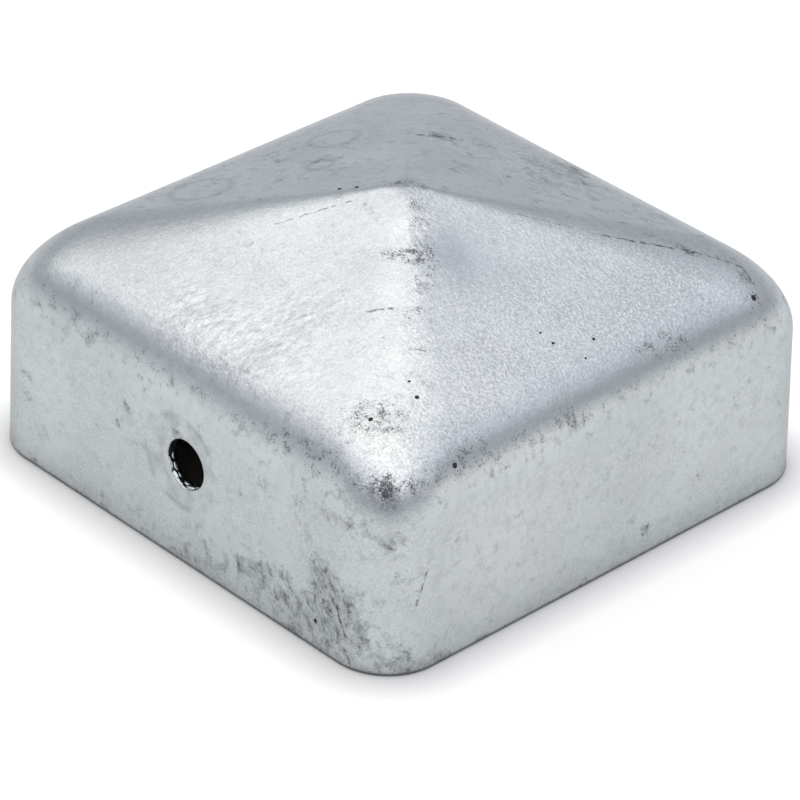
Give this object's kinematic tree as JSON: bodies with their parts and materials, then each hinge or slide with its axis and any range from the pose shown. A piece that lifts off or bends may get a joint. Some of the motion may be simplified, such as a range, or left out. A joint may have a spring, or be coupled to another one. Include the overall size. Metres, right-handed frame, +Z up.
{
  "type": "post cap",
  "caption": "Pressed sheet-steel cap with a low hipped crown and rolled shoulders, slips over a square post to shed rain and is held by a screw through one wall.",
  "frame": {"origin": "centre of the square that the rim stands on, at the rim's height", "axes": "+Z up through the apex, -Y out through the wall with the fixing hole, +X towards the wall on that wall's right"},
  "size_m": [0.08, 0.08, 0.0411],
  "materials": {
    "galvanised_steel": "hot-dip galvanised, satin grey with fine crystalline grain, dross specks and dull smudges"
  },
  "bodies": {
    "root": {"post_cap": "galvanised_steel"}
  },
  "joints": []
}
